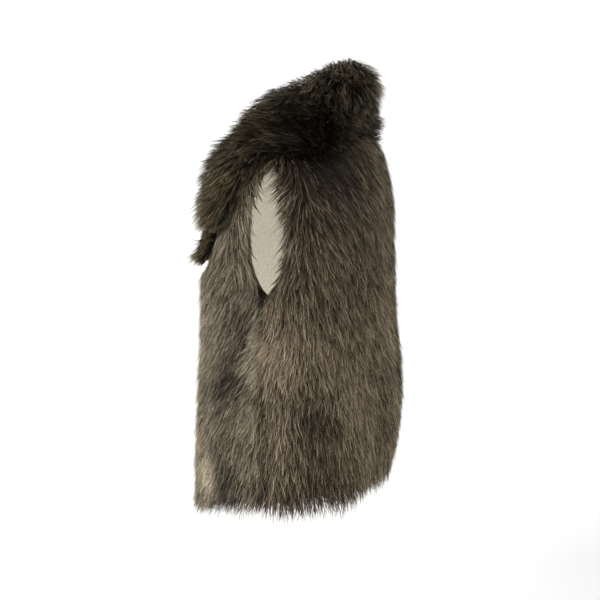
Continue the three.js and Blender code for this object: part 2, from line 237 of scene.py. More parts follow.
PANELS = {
    "front_left": (front_from, front_to),
    "front_right": (mirror_angle(front_to), mirror_angle(front_from)),
    "back": (back_from, mirror_angle(back_from)),
}
nets, valleys = {}, {}
for name, edges in PANELS.items():
    nets[name], valleys[name] = panel_net(*edges, rows=260, columns=140)
for name, net in nets.items():
    print(name, "net", net.shape, "from z", round(net[..., 2].max(), 3), "to", round(net[..., 2].min(), 3))

# %% [markdown]
# ## The collar and the lapels
# The collar is one band sewn along the neckline. It stands, rolls over at its fold, falls to its belly and
# comes down to its outer edge on the shoulders. Columns: distance along the neckline from the middle of
# the back, the fold as x y z, the belly as x y z, and the outer edge as an angle and a height on the cloth.
# The lapels are the tops of the front edges, turned back in the same way.

# %% Collar and lapel tables
COLLAR = np.array([
    [0, 0, 92, 91, 0, 106, 50, 90, -8],
    [41, 42, 88, 90, 58, 97, 46, 68, -15],
    [72, 70, 71, 83, 94, 77, 38, 51, -26],
    [96, 90, 45, 70, 118, 50, 22, 34, -40],
    [122, 98, 15, 58, 130, 14, 8, 4, -44],
    [152, 96, -22, 42, 132, -22, -8, -5, -54],
    [182, 86, -48, 14, 128, -58, -24, -9, -66],
    [220, 72, -82, -28, 124, -90, -56, -13, -84],
    [262, 60, -107, -70, 120, -107, -88, -16, -106],
    [296, 55, -115, -102, 118, -107, -112, -21, -122],
    [323, 53, -111, -128, 114, -102, -130, -27, -136],
], float)
LAPEL = np.array([
    [333, 53, -115, -148, 108, -106, -152, -29, -148],
    [348, 53, -120, -166, 110, -109, -168, -31, -162],
    [366, 54, -120, -184, 104, -111, -184, -36, -176],
    [384, 58, -115, -202, 92, -111, -200, -48, -191],
], float)
COLLAR_SEAT = 0.010
BACKING = 0.002
COLLAR_STAND_OFF = BACKING + 0.0001


def surface_normals(net):
    across = np.gradient(net, axis=1)
    down = np.gradient(net, axis=0)
    normal = np.cross(down, across)
    return normal / np.linalg.norm(normal, axis=-1, keepdims=True)


def tree_of(points):
    tree = KDTree(len(points))
    for k, point in enumerate(points):
        tree.insert(point, k)
    tree.balance()
    return tree


phi = np.linspace(-math.pi / 2, math.pi / 2, 90)[None, :]
t = np.linspace(ring_place(NECK_Z), ring_place(-0.33), 90)[:, None]
upper_cloth = cloth_point(phi + 0 * t, t + 0 * phi)
upper_normals = surface_normals(upper_cloth).reshape(-1, 3)
upper_cloth = upper_cloth.reshape(-1, 3)
upper_tree = tree_of(upper_cloth)


def lifted_off(points, least):
    """Points moved out from the cloth to at least this distance, softly."""
    out = points.copy()
    for k, (point, wanted) in enumerate(zip(points, least)):
        place, cell, _ = upper_tree.find(point)
        lift = float(np.dot(point - upper_cloth[cell], upper_normals[cell]))
        soft = wanted + 0.003 * math.log1p(math.exp((lift - wanted) / 0.003))
        out[k] += upper_normals[cell] * (soft - lift)
    return out


# %% The neckline and the arched nets
back_part = np.arange(math.pi / 2, float(front_edge_angle(np.array(NECK_Z))), -0.02)
edge_z = np.arange(NECK_Z, -0.232, -0.001)
line_phi = np.concatenate([back_part, front_edge_angle(edge_z)])
line_t = np.concatenate([np.full(len(back_part), ring_place(NECK_Z)), ring_place(edge_z)])
neckline = cloth_point(line_phi, line_t)
line_along = np.concatenate([[0], np.cumsum(np.linalg.norm(np.diff(neckline, axis=0), axis=1))])
eps = 2e-3
round_it = cloth_point(line_phi + eps, line_t) - cloth_point(line_phi - eps, line_t)
down_it = cloth_point(line_phi, line_t + eps) - cloth_point(line_phi, line_t - eps)
line_normal = np.cross(down_it, round_it)
line_run = neckline[np.minimum(np.arange(len(neckline)) + 5, len(neckline) - 1)]
line_run = line_run - neckline[np.maximum(np.arange(len(neckline)) - 6, 0)]
inwards = np.cross(line_run, line_normal)
inwards /= np.linalg.norm(inwards, axis=1, keepdims=True)
into_cloth = -line_normal / np.linalg.norm(line_normal, axis=1, keepdims=True)
seam_line = neckline + COLLAR_STAND_OFF * inwards + 1.1 * BACKING * into_cloth


def arch_net(table, alongs, columns):
    """A collar's or lapel's backing: rows along the neckline, columns from the seam (0) to the edge (3)."""
    station = rows_at(table, place_of(table, np.abs(alongs)))
    edge_phi, edge_t = np.radians(station[:, 7]), ring_place(station[:, 8] * MM)
    edge = cloth_point(edge_phi, edge_t)
    near = np.array([upper_tree.find(p)[1] for p in edge])
    edge = edge + COLLAR_SEAT * upper_normals[near]
    seam = np.stack([np.interp(np.abs(alongs) * MM, line_along, seam_line[:, k]) for k in range(3)], -1)
    corners = np.stack([seam, station[:, 1:4] * MM, station[:, 4:7] * MM, edge])
    across = np.linspace(0, 3, columns)
    net = np.stack([rows_at(corners.reshape(4, -1), np.array([a]))[0].reshape(-1, 3) for a in across], 1)
    least = np.broadcast_to(COLLAR_SEAT * smooth(across / 0.8), net.shape[:2])
    kept = net[:, 0].copy()
    net = lifted_off(net.reshape(-1, 3), least.ravel()).reshape(net.shape)
    net[:, 0] = kept
    net[alongs < 0, :, 0] *= -1
    return net


nets["collar"] = arch_net(COLLAR, np.linspace(-323, 323, 260), 100)
nets["lapel_left"] = arch_net(LAPEL, np.linspace(333, 384, 40), 90)
nets["lapel_right"] = (nets["lapel_left"] * [-1, 1, 1])[::-1]
print("collar net", nets["collar"].shape, "neckline", round(line_along[-1], 3), "m on each side")

# %% [markdown]
# ## Colours of the fur
# One strand of this fur is dark at the root, taupe for most of its length and paler near its tip, and
# neighbouring locks differ. The dark root is partly the strand's own colour and partly painted shade, deep in
# the pile where little light reaches. Painting that on an image would need an image file, so each strand
# carries two numbers in its UV map instead: across the map is how pale the strand is, and up the map is how
# far along it a point lies. Two colour ramps turn those numbers into colour.

# %% Fur material
def linear(red, green, blue):
    """A colour picked on screen, 0 to 255, as the linear colour that shaders work in."""
    return tuple(v / 12.92 if v < 0.04045 else ((v + 0.055) / 1.055) ** 2.4 for v in (red / 255, green / 255, blue / 255))


def fill_ramp(ramp, stops):
    while len(ramp.elements) < len(stops):
        ramp.elements.new(0.5)
    for element, (place, colour) in zip(ramp.elements, stops):
        element.position = place
        element.color = (*colour, 1)


def new_material(name):
    material = bpy.data.materials.new(name)
    material.use_nodes = True
    return material, material.node_tree.nodes, material.node_tree.links, material.node_tree.nodes["Principled BSDF"]


def new_group(name, inputs, outputs):
    """A shader node group with these named sockets."""
    group = bpy.data.node_groups.new(name, "ShaderNodeTree")
    for label, kind in inputs:
        group.interface.new_socket(label, in_out="INPUT", socket_type="NodeSocket" + kind)
    for label, kind in outputs:
        group.interface.new_socket(label, in_out="OUTPUT", socket_type="NodeSocket" + kind)
    return group, group.nodes, group.links, group.nodes.new("NodeGroupInput"), group.nodes.new("NodeGroupOutput")


def place_group(nodes, group):
    placed = nodes.new("ShaderNodeGroup")
    placed.node_tree = group
    return placed


def make_root_to_tip():
    """Darkens a strand's colour towards its root: partly its own colour, partly painted shade deep in the pile."""
    group, nodes, links, given, made = new_group(
        "root_to_tip", [("Colour", "Color"), ("Along", "Float"), ("Root", "Float")], [("Colour", "Color")]
    )
    rise = nodes.new("ShaderNodeValToRGB")
    bands = [(0, 0), (0.6, 0.26), (0.8, 0.5), (0.86, 1.08), (0.93, 1.08), (1, 0.4)]
    fill_ramp(rise.color_ramp, [(place, (share,) * 3) for place, share in bands])
    share = nodes.new("ShaderNodeMapRange")
    shaded = nodes.new("ShaderNodeMix")
    shaded.data_type = "RGBA"
    shaded.blend_type = "MULTIPLY"
    shaded.inputs["Factor"].default_value = 1
    links.new(given.outputs["Along"], rise.inputs["Fac"])
    links.new(rise.outputs["Color"], share.inputs["Value"])
    links.new(given.outputs["Root"], share.inputs["To Min"])
    links.new(given.outputs["Colour"], shaded.inputs["A"])
    links.new(share.outputs["Result"], shaded.inputs["B"])
    links.new(shaded.outputs["Result"], made.inputs["Colour"])
    return group


root_to_tip = make_root_to_tip()


def fur_material(name, shades, root):
    material, nodes, links, shader = new_material(name)
    uv = nodes.new("ShaderNodeUVMap")
    uv.uv_map = "OFBake"
    parts = nodes.new("ShaderNodeSeparateXYZ")
    shade = nodes.new("ShaderNodeValToRGB")
    fill_ramp(shade.color_ramp, shades)
    shading = place_group(nodes, root_to_tip)
    shading.inputs["Root"].default_value = root
    links.new(uv.outputs["UV"], parts.inputs["Vector"])
    links.new(parts.outputs["X"], shade.inputs["Fac"])
    links.new(shade.outputs["Color"], shading.inputs["Colour"])
    links.new(parts.outputs["Y"], shading.inputs["Along"])
    links.new(shading.outputs["Colour"], shader.inputs["Base Color"])
    shader.inputs["Roughness"].default_value = 0.6
    shader.inputs["Specular IOR Level"].default_value = 0.25
    return material


BODY_SHADES = [
    (0.0, linear(22, 17, 10)),
    (0.25, linear(76, 63, 46)),
    (0.5, linear(142, 126, 101)),
    (0.75, linear(206, 190, 160)),
    (1.0, linear(255, 240, 206)),
]
COLLAR_SHADES = [
    (0.0, linear(12, 9, 5)),
    (0.25, linear(50, 43, 29)),
    (0.5, linear(104, 93, 70)),
    (0.75, linear(158, 145, 116)),
    (1.0, linear(212, 198, 164)),
]


def warmer(shades, green, blue):
    return [(place, (r, g * green, b * blue)) for place, (r, g, b) in shades]


front_fur = fur_material("front_fur_strands", BODY_SHADES, 0.09)
# The back's fur is the fronts' fur with warmer, darker colours: painted shade, for the back turned from the light.
back_fur_painted_shade = fur_material("back_fur_strands", warmer(BODY_SHADES, 0.94, 0.89), 0.09)
collar_fur = fur_material("collar_fur_strands", warmer(COLLAR_SHADES, 0.96, 0.87), 0.08)
print("fur materials", front_fur.name, back_fur_painted_shade.name, collar_fur.name)

# %% [markdown]
# ## The knitted backing
# Fur fabric is knitted. Its face, between the strands, is dark and fuzzy. Its back shows inside the
# armholes and the neck as a fine rib in a flat grey-brown. Both are thin cloth, so a wave pattern and a
# little noise in the bump are enough, read from the cloth's own UV map so that the rib follows the panel.

# %% Backing materials
def make_knit():
    """Fuzzy ribs, as a colour and as a height."""
    group, nodes, links, given, made = new_group(
        "knit",
        [("Place", "Vector"), ("Ribs", "Float"), ("Light", "Color"), ("Dark", "Color")],
        [("Colour", "Color"), ("Height", "Float")],
    )
    rib = nodes.new("ShaderNodeTexWave")
    rib.inputs["Distortion"].default_value = 1.5
    rib.inputs["Detail"].default_value = 2
    fuzz = nodes.new("ShaderNodeTexNoise")
    fuzz.inputs["Detail"].default_value = 4
    finer = nodes.new("ShaderNodeMath")
    finer.operation = "MULTIPLY"
    finer.inputs[1].default_value = 1.7
    spread = nodes.new("ShaderNodeMapRange")
    spread.inputs["From Min"].default_value = 0.25
    spread.inputs["From Max"].default_value = 0.75
    shade = nodes.new("ShaderNodeMix")
    shade.data_type = "RGBA"
    both = nodes.new("ShaderNodeMath")
    both.operation = "MULTIPLY"
    links.new(given.outputs["Place"], rib.inputs["Vector"])
    links.new(given.outputs["Place"], fuzz.inputs["Vector"])
    links.new(given.outputs["Ribs"], rib.inputs["Scale"])
    links.new(given.outputs["Ribs"], finer.inputs[0])
    links.new(finer.outputs["Value"], fuzz.inputs["Scale"])
    links.new(fuzz.outputs["Fac"], spread.inputs["Value"])
    links.new(spread.outputs["Result"], shade.inputs["Factor"])
    links.new(given.outputs["Dark"], shade.inputs["A"])
    links.new(given.outputs["Light"], shade.inputs["B"])
    links.new(rib.outputs["Fac"], both.inputs[0])
    links.new(fuzz.outputs["Fac"], both.inputs[1])
    links.new(shade.outputs["Result"], made.inputs["Colour"])
    links.new(both.outputs["Value"], made.inputs["Height"])
    return group


knit = make_knit()


def knit_material(name, light, dark, ribs, height):
    material, nodes, links, shader = new_material(name)
    uv = nodes.new("ShaderNodeUVMap")
    uv.uv_map = "Weave"
    fabric = place_group(nodes, knit)
    fabric.inputs["Ribs"].default_value = ribs
    fabric.inputs["Light"].default_value = (*light, 1)
    fabric.inputs["Dark"].default_value = (*dark, 1)
    bump = nodes.new("ShaderNodeBump")
    bump.inputs["Strength"].default_value = 0.6
    bump.inputs["Distance"].default_value = height
    links.new(uv.outputs["UV"], fabric.inputs["Place"])
    links.new(fabric.outputs["Colour"], shader.inputs["Base Color"])
    links.new(fabric.outputs["Height"], bump.inputs["Height"])
    links.new(bump.outputs["Normal"], shader.inputs["Normal"])
    shader.inputs["Roughness"].default_value = 0.9
    shader.inputs["Specular IOR Level"].default_value = 0.2
    return material


under_fur = knit_material("under_fur", linear(62, 53, 42), linear(34, 29, 23), 60, 0.001)
collar_under_fur = knit_material("collar_under_fur", linear(40, 36, 27), linear(20, 18, 13), 60, 0.001)
backing = knit_material("knit_backing", linear(246, 242, 234), linear(222, 216, 204), 90, 0.0006)

# %% [markdown]
# ## Cloth from a flat grid
# Each panel starts as a flat grid, the way cloth is flat before it is sewn. Its corners are then moved to
# the places that the net gives, and a Solidify modifier gives it the thickness of the backing, inwards.

# %% Make the cloth
def at(net, v, u):
    """Points of a net at places in cells down and across it."""
    v = np.clip(v, 0, net.shape[0] - 1.0001)
    u = np.clip(u, 0, net.shape[1] - 1.0001)
    i, j = v.astype(int), u.astype(int)
    f, g = (v - i)[:, None], (u - j)[:, None]
    upper = net[i, j] * (1 - g) + net[i, j + 1] * g
    lower = net[i + 1, j] * (1 - g) + net[i + 1, j + 1] * g
    return upper * (1 - f) + lower * f


def cloth_piece(name, net, rows, columns, face, inside):
    bm = bmesh.new()
    bmesh.ops.create_grid(bm, x_segments=columns, y_segments=rows, size=0.5)
    flat = np.array([vertex.co[:2] for vertex in bm.verts]) + 0.5
    v, u = (1 - flat[:, 1]) * (net.shape[0] - 1), flat[:, 0] * (net.shape[1] - 1)
    places, normals = at(net, v, u), at(surface_normals(net), v, u)
    for vertex, place in zip(bm.verts, places):
        vertex.co = place
    bm.normal_update()
    first = next(iter(bm.faces))
    if first.normal.dot(Vector(normals[first.verts[0].index])) < 0:
        bmesh.ops.reverse_faces(bm, faces=bm.faces)
    weave = bm.loops.layers.uv.new("Weave")
    width = np.linalg.norm(np.diff(net[net.shape[0] // 2], axis=0), axis=1).sum()
    length = np.linalg.norm(np.diff(net[:, net.shape[1] // 2], axis=0), axis=1).sum()
    for polygon in bm.faces:
        polygon.smooth = True
        for loop in polygon.loops:
            loop[weave].uv = flat[loop.vert.index] * (width, length)
    area = sum(polygon.calc_area() for polygon in bm.faces)
    mesh = bpy.data.meshes.new(name)
    bm.to_mesh(mesh)
    bm.free()
    piece = bpy.data.objects.new(name, mesh)
    bpy.context.scene.collection.objects.link(piece)
    mesh.materials.append(face)
    mesh.materials.append(inside)
    wall = piece.modifiers.new("thickness", "SOLIDIFY")
    wall.thickness = BACKING
    wall.offset = -1
    wall.material_offset = 1
    print(f"{name}: {width:.3f} m across its middle, {length:.3f} m down it, {area:.3f} m2")
    return piece, width, length, area


CLOTH = {
    "front_left": (70, 28, under_fur, backing),
    "front_right": (70, 28, under_fur, backing),
    "back": (70, 66, under_fur, backing),
    "collar": (80, 26, collar_under_fur, collar_under_fur),
    "lapel_left": (12, 20, collar_under_fur, collar_under_fur),
    "lapel_right": (12, 20, collar_under_fur, collar_under_fur),
}
cloths, sizes = {}, {}
for node, (rows, columns, face, inside) in CLOTH.items():
    cloths[node], *sizes[node] = cloth_piece("cloth_" + node, nets[node], rows, columns, face, inside)
    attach(cloths[node], "root")
    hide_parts(node)

# %% [markdown]
# ## Planting fur
# Blender's hair would be the quick way, but hair doesn't leave Blender as a mesh. So every strand is a
# narrow ribbon of its own: root, two joints and a tip. A hundred thousand strands can't be made one by
# one, so all of a piece's strands are worked out together as arrays and become one mesh.
# Fur looks like fur because it isn't even. Strands of a lock lean and curve together and close up towards
# their tips, and broad waves run through all the locks.

# %% Helpers for strands
def hashed(*whole):
    """Steady random numbers from 0 to 1 for whole numbers, the same on every run."""
    mixed = np.zeros(np.shape(whole[0]), np.uint64)
    for k, number in enumerate(whole):
        mixed ^= (np.asarray(number).astype(np.int64).astype(np.uint64) + np.uint64(k * 7919 + 1)) * np.uint64(0x9E3779B97F4A7C15)
        mixed ^= mixed >> np.uint64(29)
        mixed *= np.uint64(0xBF58476D1CE4E5B9)
        mixed ^= mixed >> np.uint64(32)
    return (mixed >> np.uint64(11)).astype(float) / float(1 << 53)


def waves(a, b, size, seed):
    """Smooth noise from -1 to 1 over a flat place in metres, with waves of about this size."""
    x, y = a / size, b / size
    i, j = np.floor(x).astype(int), np.floor(y).astype(int)
    f, g = smooth(x - i), smooth(y - j)
    corner = lambda p, q: hashed(i + p, j + q, seed + 0 * i)
    return 2 * mix(mix(corner(0, 0), corner(1, 0), f), mix(corner(0, 1), corner(1, 1), f), g) - 1


def locks(a, b, size, seed):
    """For each strand, the way to the middle of its lock and the lock's whole numbers."""
    x, y = a / size, b / size
    i0, j0 = np.floor(x).astype(int), np.floor(y).astype(int)
    best = np.full(len(a), 1e9)
    away = np.zeros((len(a), 2))
    own = np.zeros((len(a), 2), int)
    for di in (-1, 0, 1):
        for dj in (-1, 0, 1):
            i, j = i0 + di, j0 + dj
            to_x = i + 0.15 + 0.7 * hashed(i, j, seed + 0 * i) - x
            to_y = j + 0.15 + 0.7 * hashed(i, j, seed + 1 + 0 * i) - y
            nearer = to_x**2 + to_y**2 < best
            best = np.where(nearer, to_x**2 + to_y**2, best)
            away[nearer] = np.stack([to_x, to_y], -1)[nearer] * size
            own[nearer] = np.stack([i, j], -1)[nearer]
    return away, own


def unit(vectors):
    return vectors / np.maximum(np.linalg.norm(vectors, axis=-1, keepdims=True), 1e-9)


# %% Plant roots evenly over a net
def plant(net, count, rng, down=(0, 1), across=(0, 1)):
    """Places v, u in cells of strands spread evenly over part of a net, by area."""
    rows, columns = net.shape[0] - 1, net.shape[1] - 1
    side = net[:-1, 1:] - net[:-1, :-1]
    fall = net[1:, :-1] - net[:-1, :-1]
    area = np.linalg.norm(np.cross(side, fall), axis=-1)
    i, j = np.arange(rows)[:, None] / rows, np.arange(columns)[None, :] / columns
    area = area * (i >= down[0]) * (i < down[1]) * (j >= across[0]) * (j < across[1])
    total = np.cumsum(area.ravel())
    cell = np.searchsorted(total, (np.arange(count) + rng.random(count)) / count * total[-1])
    cell = np.minimum(cell, area.size - 1)
    return cell // columns + rng.random(count), cell % columns + rng.random(count)


# %% Build a mesh of ribbons
def ribbons(name, points, widths, sideways, tones, material):
    """points is strands by 4 by 3, from root to tip. The tip is one corner, the rest are two."""
    count, steps = points.shape[:2]
    run = unit(np.gradient(points, axis=1))
    out = unit(sideways - (sideways * run[:, 1]).sum(-1, keepdims=True) * run[:, 1])
    half = 0.5 * widths[:, None] * np.interp(np.arange(steps - 1) / (steps - 1), [0, 0.4, 1], [0.75, 1, 0.5])
    offset = out[:, None, :] * half[..., None]
    left, right = points[:, :-1] - offset, points[:, :-1] + offset
    body = np.stack([left, right], 2).reshape(count, -1, 3)
    corners = np.concatenate([body, points[:, -1:]], 1)
    each = corners.shape[1]
    mesh = bpy.data.meshes.new(name)
    mesh.vertices.add(count * each)
    mesh.vertices.foreach_set("co", corners.astype(np.float32).ravel())
    quads = [[2 * k, 2 * k + 1, 2 * k + 3, 2 * k + 2] for k in range(steps - 2)]
    pattern = np.array([corner for quad in quads for corner in quad] + [each - 3, each - 2, each - 1])
    sizes_of = np.tile([4] * len(quads) + [3], count)
    starts = np.concatenate([[0], np.cumsum(sizes_of)[:-1]])
    mesh.loops.add(count * len(pattern))
    mesh.loops.foreach_set("vertex_index", (np.arange(count)[:, None] * each + pattern).ravel().astype(np.int32))
    mesh.polygons.add(len(sizes_of))
    mesh.polygons.foreach_set("loop_start", starts.astype(np.int32))
    mesh.polygons.foreach_set("use_smooth", np.ones(len(sizes_of), bool))
    mesh.update(calc_edges=True)
    along = np.append(np.repeat(np.arange(steps - 1) / (steps - 1), 2), 1.0) * 0.96 + 0.02
    aside = np.append(np.tile([-1, 1], steps - 1), 0) * 0.05
    uv = np.empty((count, len(pattern), 2), np.float32)
    uv[..., 0] = np.clip(tones[:, None], 0.06, 0.94) + aside[pattern]
    uv[..., 1] = along[pattern]
    mesh.uv_layers.new(name="OFBake").data.foreach_set("uv", uv.ravel())
    mesh.materials.append(material)
    piece = bpy.data.objects.new(name, mesh)
    bpy.context.scene.collection.objects.link(piece)
    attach(piece, "root")
    return piece


# %% [markdown]
# ## Which way the fur lies
# The pile was brushed downwards when the panels were cut, so fur lies down the cloth at an angle and its
# tips stand about two centimetres off it. At an open edge the tips also fan out over the edge. Under the
# collar the fur is pressed flat. On the collar the fur runs from the seam over the fold to the outer edge.

# %% Grow strands
def grow(name, net, lie, count, down, across, *, seed, tone, material, length, width, lock, pull, ruffle, tuft, speckle, mottle, lift, steps):
    """Strands on part of a net. lie is each place's direction, share of the full length, and shift in tone."""
    rng = np.random.default_rng(seed)
    v, u = plant(net, count, rng, down, across)
    normals, across_net, down_net = surface_normals(net), np.gradient(net, axis=1), np.gradient(net, axis=0)
    root, height, shade = at(net, v, u), at(lie[1], v, u)[:, 0], at(lie[2], v, u)[:, 0]
    a, b = at(flat_places(net), v, u).T
    away, own = locks(a, b, lock, seed)
    broad, owner = locks(a, b, 0.022, seed + 5)

    def shared(key, whole=own):
        return hashed(whole[:, 0], whole[:, 1], key + seed + 0 * whole[:, 0]) * 2 - 1

    lean = ruffle * (0.12 * shared(11) + 0.14 * shared(12, owner) + 0.18 * waves(a, b, 0.06, seed + 3))
    lean += 0.16 * rng.normal(size=count)
    rise = 1 + ruffle * (0.12 * shared(13) + 0.14 * shared(14, owner)) + 0.14 * rng.normal(size=count)
    rise = np.clip(rise, 0.5, 1.3)
    wild = rng.random(count) < 0.02
    uneven = 1 + 0.1 * shared(15) + tuft * shared(18, owner) + 0.18 * np.clip(rng.normal(size=count), -2, 1.2)
    long = length * np.minimum(height * uneven, 1.7) * np.where(wild, 1.15, 1)
    points, place = [root], np.stack([v, u])
    for k in range(steps):
        share = (k + 0.5) / steps
        cell = np.stack([at(part, *place) for part in (down_net, across_net)])
        normal, flow = unit(at(normals, *place)), unit(at(lie[0], *place))
        side_way = unit(np.cross(normal, flow))
        up = math.radians(mix(*lift, share)) * rise * (0.55 + 0.45 * np.minimum(height, 1)) * np.where(wild, 1.15, 1)
        way = unit(flow + side_way * (lean * (0.6 + 0.9 * share))[:, None])
        place = place + (way * cell).sum(-1) / (cell * cell).sum(-1) * long / steps
        way = way * np.cos(up)[:, None] + normal * np.sin(up)[:, None]
        points.append(points[-1] + way * (long / steps)[:, None])
    points = np.stack(points, 1)
    across_way, down_way = unit(at(across_net, v, u)), unit(at(down_net, v, u))
    close = pull * np.where(wild, 0.2, 1) * (0.7 + 0.3 * rng.random(count))
    shift = close[:, None] * (across_way * away[:, :1] + down_way * away[:, 1:])
    shift += tuft * (across_way * broad[:, :1] + down_way * broad[:, 1:])
    points += (np.linspace(0, 1, steps + 1) ** 1.3)[None, :, None] * shift[:, None, :]
    turn = 1.0 * rng.normal(size=count)
    sideways = side_way * np.cos(turn)[:, None] + normal * np.sin(turn)[:, None]
    tones = tone + shade + speckle * (mottle * shared(16) + mottle * shared(17, owner) + rng.normal(size=count))
    tones += 0.06 * waves(a, b, 0.045, seed + 9)
    wide = width * np.clip(1 + 0.25 * rng.normal(size=count), 0.5, 1.6)
    print(f"{name}: {count} strands of about {1000 * length:.0f} mm")
    return ribbons(name, points, wide, sideways, tones, material)


def flat_places(net):
    """Distances across and down a net in metres, which serve as flat coordinates on it."""
    a = np.concatenate([np.zeros((net.shape[0], 1)), np.cumsum(np.linalg.norm(np.diff(net, axis=1), axis=-1), 1)], 1)
    b = np.concatenate([np.zeros((1, net.shape[1])), np.cumsum(np.linalg.norm(np.diff(net, axis=0), axis=-1), 0)], 0)
    return np.stack([a, b], -1)


# %% Painted light and shade on the fur, and a pale gold patch
# Place x y z in mm, radius in mm and how much paler. The same patches lie on both sides of the vest. The darker
# ones are painted shadow and shade: on the yoke and the collar below the collar's roll, and down fold valleys.
# The paler ones are painted light, where the collar's ridge, its lobes and ridges of the cloth face the lights.
# The strongest, low on the front, is a pale gold patch in the fur's own colour.
LIGHT_SHADE_AND_TONE_PATCHES = [
    (150, 60, -5, 60, -0.30),
    (160, 85, -50, 50, -0.28),
    (180, 60, -90, 60, -0.12),
    (45, 125, 20, 60, -0.22),
    (70, 125, -40, 45, -0.14),
    (100, 130, -90, 70, -0.12),
    (155, 95, -72, 55, -0.20),
    (130, 35, 30, 30, -0.10),
    (77, 99, 84, 35, 0.16),
    (170, -120, -150, 40, 0.16),
    (190, 104, -445, 32, -0.20),
    (204, -88, -530, 26, 1.00),
    (224, -54, -470, 36, -0.30),
    (214, -55, -265, 40, -0.10),
    (218, -55, -350, 36, -0.20),
    (220, -57, -392, 34, -0.34),
    (226, -46, -528, 32, -0.44),
    (180, -110, -420, 50, -0.06),
    (212, 72, -300, 45, -0.08),
    (216, 74, -390, 40, -0.16),
    (214, 74, -430, 30, -0.18),
    (216, 74, -515, 40, -0.18),
    (70, 166, -400, 60, -0.30),
    (85, 166, -480, 40, -0.20),
    (105, -20, 60, 40, -0.18),
    (60, 95, 95, 30, 0.10),
    (216, -16, -290, 15, -0.26),
    (220, -24, -325, 16, -0.32),
    (221, -32, -365, 16, -0.30),
    (222, 42, -322, 48, 0.34),
    (200, -95, -355, 26, 0.14),
    (222, 5, -330, 26, 0.06),
    (206, 72, -185, 40, -0.12),
    (214, 74, -345, 28, -0.10),
    (160, 130, -430, 60, 0.10),
    (226, 25, -440, 60, 0.07),
    (125, 148, -390, 70, 0.08),
    (165, -100, -100, 48, 0.12),
    (105, -112, -175, 36, 0.12),
]
# Painted shade: darker fur in the side seams' crease low down, and along the hem.
SEAM_PAINTED_SHADE, SEAM_REACH = -0.26, 0.006
HEM_PAINTED_SHADE, HEM_REACH = -0.18, 0.035
PALER_BELOW = 0.11
TIPS_BELOW_ROOTS = 20
FUR_DEPTH = 0.018
# How far the fur drifts towards the back as it falls, and the same at places: x y z in mm, radius, drift.
DRIFT = {"front_left": -0.22, "front_right": -0.22, "back": 0.02}
DRIFTS = [
    (221, 12, -300, 55, -0.45),
    (160, 105, -95, 70, 0.45),
    (60, 140, -90, 60, 0.25),
]


def patched(net, base, patches, below=0):
    """A value over a net: the base, changed softly round each patch, or so far below each place in mm."""
    value = np.full(net.shape[:2], float(base))
    outside = net + FUR_DEPTH * surface_normals(net)
    for x, y, z, radius, shift in patches:
        middle = MM * np.array([x, y, z + below])
        away = np.linalg.norm(np.where([True, False, False], np.abs(outside), outside) - middle, axis=-1)
        value += shift * np.exp(-((away / (radius * MM)) ** 2))
    return value


# %% How fur lies on the panels
cover_tree = tree_of(np.concatenate([nets[n].reshape(-1, 3)[::3] for n in ("collar", "lapel_left", "lapel_right")]))


def lie_of_panel(name, free_first, free_last, base_tone):
    """free_first and free_last say, for each row, how free the panel's two side edges are, from 0 to 1."""
    net = nets[name]
    normal = surface_normals(net)
    down = np.broadcast_to(np.array([0, 0, -1.0]), net.shape)
    outward = unit(np.gradient(net, axis=1))
    to_back = outward * np.sign(net[..., :1])
    flow = unit(down - (down * normal).sum(-1, keepdims=True) * normal)
    flow = unit(flow + to_back * patched(net, DRIFT[name], DRIFTS)[..., None] * smooth(np.abs(net[..., :1]) / 0.05))
    places = flat_places(net)[..., 0]
    from_first, from_last = places, places[:, -1:] - places
    first = free_first[:, None] * np.exp(-((from_first / 0.022) ** 2))
    last = free_last[:, None] * np.exp(-((from_last / 0.022) ** 2))
    flow = unit(flow + outward * (last - first)[..., None] * 0.75)
    room = np.ones(net.shape[:2])
    for i in range(0, net.shape[0] // 2):
        for j in range(0, net.shape[1], 2):
            gap = cover_tree.find(net[i, j])[2]
            room[i, j : j + 2] = np.clip((0.9 * gap - 0.003) / 0.015, 0.12, 1)
    above_hem = flat_places(net[::-1])[::-1][..., 1]
    tufts = 0.26 + 0.16 * waves(places, 0 * places, 0.035, 4)
    tufts = tufts - 0.3 * smooth((net[..., 1] - 0.10) / 0.05)
    longer = 1 + tufts * np.exp(-((above_hem / 0.025) ** 2)) + 0.5 * (first + last) * armhole[:, None]
    over_armhole = ((net[..., 2] + 0.055) / 0.022) ** 2 + ((net[..., 1] - SEAM_Y) / 0.03) ** 2
    longer += 0.55 * np.exp(-over_armhole)
    # Painted light and shade: the patches, and darker fur down the folds' valleys, along the hem and in the seams.
    tone = patched(net, base_tone, LIGHT_SHADE_AND_TONE_PATCHES, TIPS_BELOW_ROOTS) - 16 * valleys[name] + PALER_BELOW * smooth((-0.23 - net[..., 2]) / 0.08)
    # Painted shade along the hem.
    tone += HEM_PAINTED_SHADE * np.exp(-((above_hem / HEM_REACH) ** 2))
    from_seam = np.minimum(from_first + 9 * free_first[:, None], from_last + 9 * free_last[:, None])
    tone += SEAM_PAINTED_SHADE * np.exp(-((from_seam / SEAM_REACH) ** 2)) * smooth((-0.34 - net[..., 2]) / 0.05)
    return flow, (room * longer)[..., None], tone[..., None]


def armhole_free(z):
    return smooth((-0.052 - z) / 0.02) * smooth((z + 0.236) / 0.02)


z_rows = np.linspace(NECK_Z, CLOTH_HEM_Z, 260)
open_edge = smooth((-0.19 - z_rows) / 0.03)
armhole = armhole_free(z_rows)
lies = {
    "front_left": lie_of_panel("front_left", open_edge, armhole, 0.02),
    "front_right": lie_of_panel("front_right", armhole, open_edge, 0.02),
    # The back's fur also starts a little darker in tone, as painted shade.
    "back": lie_of_panel("back", armhole, armhole, -0.04),
}


# %% How fur lies on the collar and lapels
FULLER = [(90, -40, 70, 45, 0.35), (40, 60, 100, 45, 0.2)]


